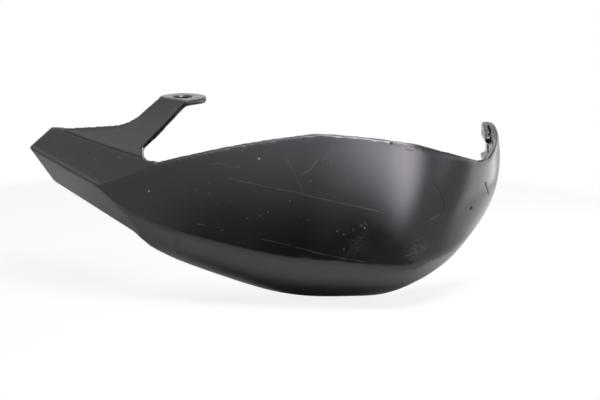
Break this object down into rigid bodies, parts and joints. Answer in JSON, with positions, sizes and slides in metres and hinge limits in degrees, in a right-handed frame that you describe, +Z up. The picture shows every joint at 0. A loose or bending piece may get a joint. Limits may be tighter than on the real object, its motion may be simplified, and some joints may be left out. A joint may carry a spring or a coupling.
{
  "type": "motorcycle hand guard",
  "caption": "Curved moulded hand guard for a motorcycle's left grip, with a faceted beak, an arm with an eye for the mirror stem, a curled lower flange and an ear for the bar-end bolt.",
  "frame": {"origin": "centre of the perch eye's bore on its lower, seating face", "axes": "+X outboard towards the bar end, +Y rearwards to the rider, +Z up along the eye's bore"},
  "size_m": [0.2833, 0.0879, 0.1161],
  "materials": {
    "shell": "satin black moulding, scuffed"
  },
  "bodies": {
    "root": {"guard_shell": "shell"}
  },
  "joints": []
}
